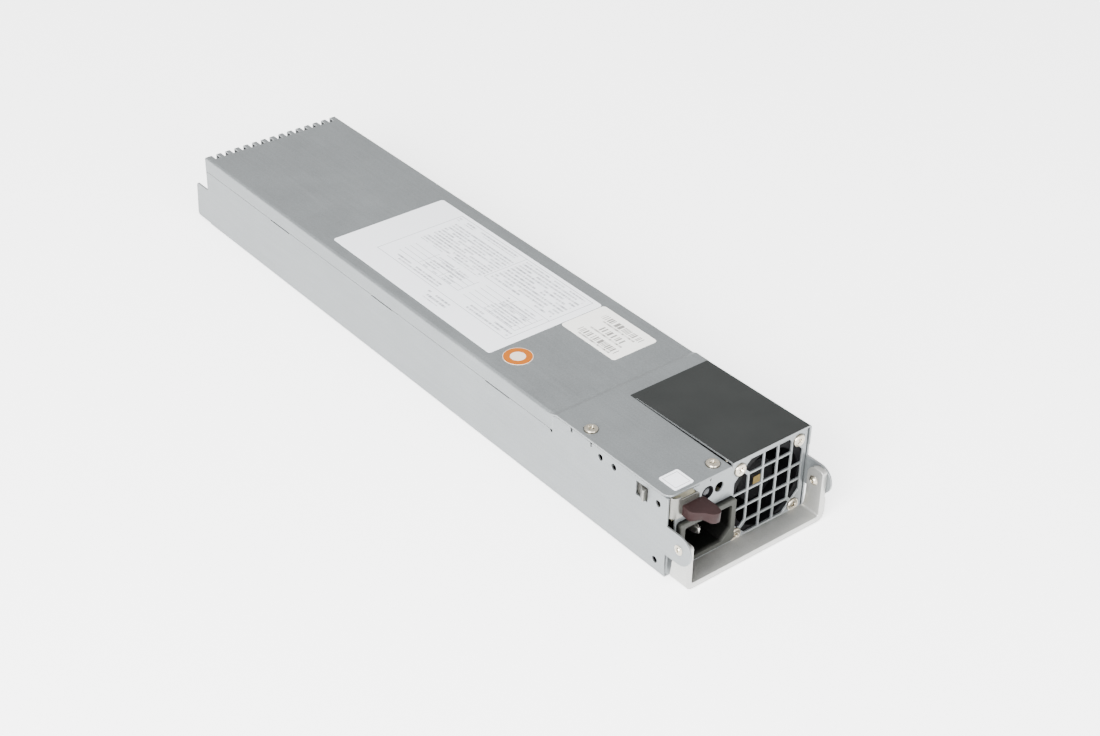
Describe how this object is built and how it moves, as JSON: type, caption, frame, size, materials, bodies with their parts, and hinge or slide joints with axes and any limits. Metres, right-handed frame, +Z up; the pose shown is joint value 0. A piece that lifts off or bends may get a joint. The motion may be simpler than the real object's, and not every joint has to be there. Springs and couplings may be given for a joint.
{
  "type": "hot swap server power supply",
  "caption": "Long flat power supply module in plated sheet steel with a fan grille, mains inlet, swinging handle, side latch and rear contact tongue.",
  "frame": {"origin": "middle of the tray's flat underside, half-way along the case", "axes": "+X to the right seen from the front with the fan and the inlet, +Y from the front to the contact tongue at the rear, +Z up"},
  "size_m": [0.0785, 0.3702, 0.0406],
  "materials": {
    "zinc_sheet": "zinc plated sheet, dull satin with faint grain",
    "plated_steel": "nickel plated steel, satin",
    "spring_steel": "bare spring steel, satin",
    "screw_steel": "warm nickel plating",
    "black_film": "smooth dark grey polyester film",
    "black_plastic": "black moulded plastic, fine matte",
    "inlet_plastic": "black moulded plastic, slightly shiny",
    "burgundy_plastic": "moulded plastic, matte",
    "lens_plastic": "clear acrylic light pipe",
    "plated_brass": "nickel plated brass",
    "gold_contact": "gold plated",
    "copper": "bare copper",
    "wound_copper": "enamelled copper wire",
    "circuit_board": "green solder mask",
    "insulation_film": "translucent insulating sheet",
    "yellow_plastic": "yellow plastic case and tape",
    "heatsink_aluminium": "extruded aluminium",
    "capacitor_sleeve": "shrunk plastic sleeve",
    "ferrite": "pressed ferrite",
    "white_plastic": "white nylon",
    "label_paper": "white film label, blank"
  },
  "bodies": {
    "supply": {"base_tray": "zinc_sheet", "top_cover": "zinc_sheet", "fan_film": "black_film", "front_panel": "zinc_sheet", "front_fan_frame": "black_plastic", "rear_fan_frame": "black_plastic", "fan_screws": "screw_steel", "cover_screws": "screw_steel", "handle_rivets": "screw_steel", "inlet_housing": "inlet_plastic", "line_blade": "plated_brass", "neutral_blade": "plated_brass", "earth_blade": "plated_brass", "inlet_guard": "insulation_film", "latch_stud": "screw_steel", "status_lens": "lens_plastic", "insulation_sheet": "insulation_film", "main_board": "circuit_board", "board_standoffs": "plated_brass", "board_screws": "screw_steel", "edge_contacts": "gold_contact", "mains_fuse": "black_plastic", "filter_choke": "wound_copper", "filter_capacitors": "yellow_plastic", "inrush_relay": "black_plastic", "primary_heatsink": "heatsink_aluminium", "bridge_rectifier": "black_plastic", "power_factor_choke": "wound_copper", "bulk_capacitors": "capacitor_sleeve", "transformer_core": "ferrite", "transformer_winding": "yellow_plastic", "rectifier_heatsink": "heatsink_aluminium", "output_capacitors": "capacitor_sleeve", "output_choke": "wound_copper", "control_board": "circuit_board", "bus_bars": "copper", "fan_plug": "white_plastic", "rating_label": "label_paper", "barcode_label": "label_paper", "corner_label": "label_paper", "round_sticker": "label_paper"},
    "handle": {"handle": "plated_steel"},
    "latch": {"latch_spring": "spring_steel", "latch_tab": "burgundy_plastic"},
    "front_rotor": {"front_fan_rotor": "black_plastic"},
    "rear_rotor": {"rear_fan_rotor": "black_plastic"}
  },
  "joints": [
    {"name": "handle_swing", "type": "hinge", "parent": "supply", "child": "handle", "pos_m": [0, -0.1795, 0.0186], "axis": [-1, 0, 0], "range_deg": [0, 90]},
    {"name": "latch_press", "type": "hinge", "parent": "supply", "child": "latch", "pos_m": [-0.03645, -0.145, 0.0332], "axis": [0, 0, 1], "range_deg": [0, 4.5], "stiffness_Nm_per_rad": 3.2, "springref_deg": -2.86},
    {"name": "front_fan_spin", "type": "hinge", "parent": "supply", "child": "front_rotor", "pos_m": [0.0156, -0.1572, 0.0193], "axis": [0, 1, 0], "continuous": true},
    {"name": "rear_fan_spin", "type": "hinge", "parent": "supply", "child": "rear_rotor", "pos_m": [0.0156, -0.1289, 0.0193], "axis": [0, 1, 0], "continuous": true}
  ]
}
